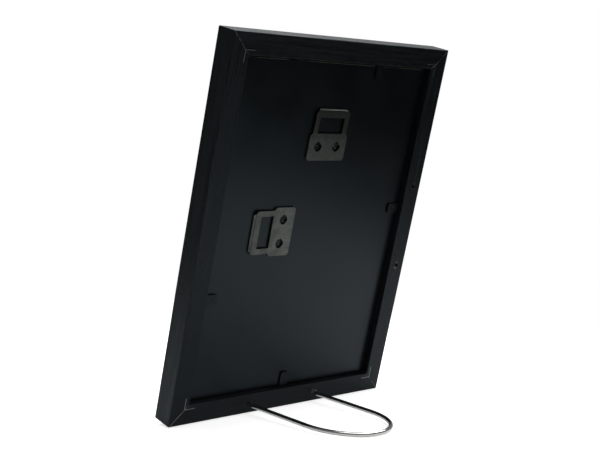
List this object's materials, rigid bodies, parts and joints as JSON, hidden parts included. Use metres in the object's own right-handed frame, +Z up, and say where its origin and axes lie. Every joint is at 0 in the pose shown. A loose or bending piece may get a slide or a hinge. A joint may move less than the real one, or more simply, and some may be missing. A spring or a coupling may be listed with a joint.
{
  "type": "picture frame",
  "caption": "Dark wooden picture frame leaning on a bent wire stand, with a backboard held by bending tabs and two hanger plates for the wall.",
  "frame": {"origin": "on the table, under the middle of the outline that the leaning frame and its wire stand cover", "axes": "+Z up, +Y out of the back towards the wire stand, +X to the right as seen from the front"},
  "size_m": [0.25, 0.1472, 0.3312],
  "materials": {
    "rail": "black foil over fibreboard, satin, with a fine lengthwise grain",
    "nail_steel": "bare pressed steel strip",
    "tab_steel": "thin spring steel, black lacquer",
    "backboard": "black coated hardboard, satin",
    "plate_steel": "stamped zinc plated steel, dulled",
    "chrome_wire": "bright nickel plated wire",
    "glazing": "clear polished sheet",
    "mat_card": "off-white card, matt",
    "print_paper": "plain printed paper, matt"
  },
  "bodies": {
    "frame": {"rail_bottom": "rail", "rail_right": "rail", "rail_top": "rail", "rail_left": "rail", "corner_nail_bottom_left": "nail_steel", "corner_nail_bottom_right": "nail_steel", "corner_nail_top_right": "nail_steel", "corner_nail_top_left": "nail_steel", "backboard": "backboard", "print": "print_paper", "mat": "mat_card", "glazing": "glazing", "hanger_plate_portrait": "plate_steel", "hanger_plate_landscape": "plate_steel"},
    "stand_wire": {"stand_wire": "chrome_wire"},
    "tab_top": {"tab_top": "tab_steel"},
    "tab_right": {"tab_right": "tab_steel"},
    "tab_bottom": {"tab_bottom": "tab_steel"},
    "tab_left": {"tab_left": "tab_steel"}
  },
  "joints": [
    {"name": "stand_wire_slide", "type": "slide", "parent": "frame", "child": "stand_wire", "axis": [0, 0.9988, -0.0483], "range_m": [0, 0.02]},
    {"name": "tab_top_bend", "type": "hinge", "parent": "frame", "child": "tab_top", "pos_m": [-0.0465, 0.01725, 0.30941], "axis": [1, 0, 0], "range_deg": [0, 85]},
    {"name": "tab_right_bend", "type": "hinge", "parent": "frame", "child": "tab_right", "pos_m": [0.1064, -0.03198, 0.10897], "axis": [0, -0.2385, -0.9711], "range_deg": [0, 85]},
    {"name": "tab_bottom_bend", "type": "hinge", "parent": "frame", "child": "tab_bottom", "pos_m": [-0.002, -0.05402, 0.01923], "axis": [-1, 0, 0], "range_deg": [0, 85]},
    {"name": "tab_left_bend", "type": "hinge", "parent": "frame", "child": "tab_left", "pos_m": [-0.1064, -0.01433, 0.18083], "axis": [0, 0.2385, 0.9711], "range_deg": [0, 85]}
  ]
}
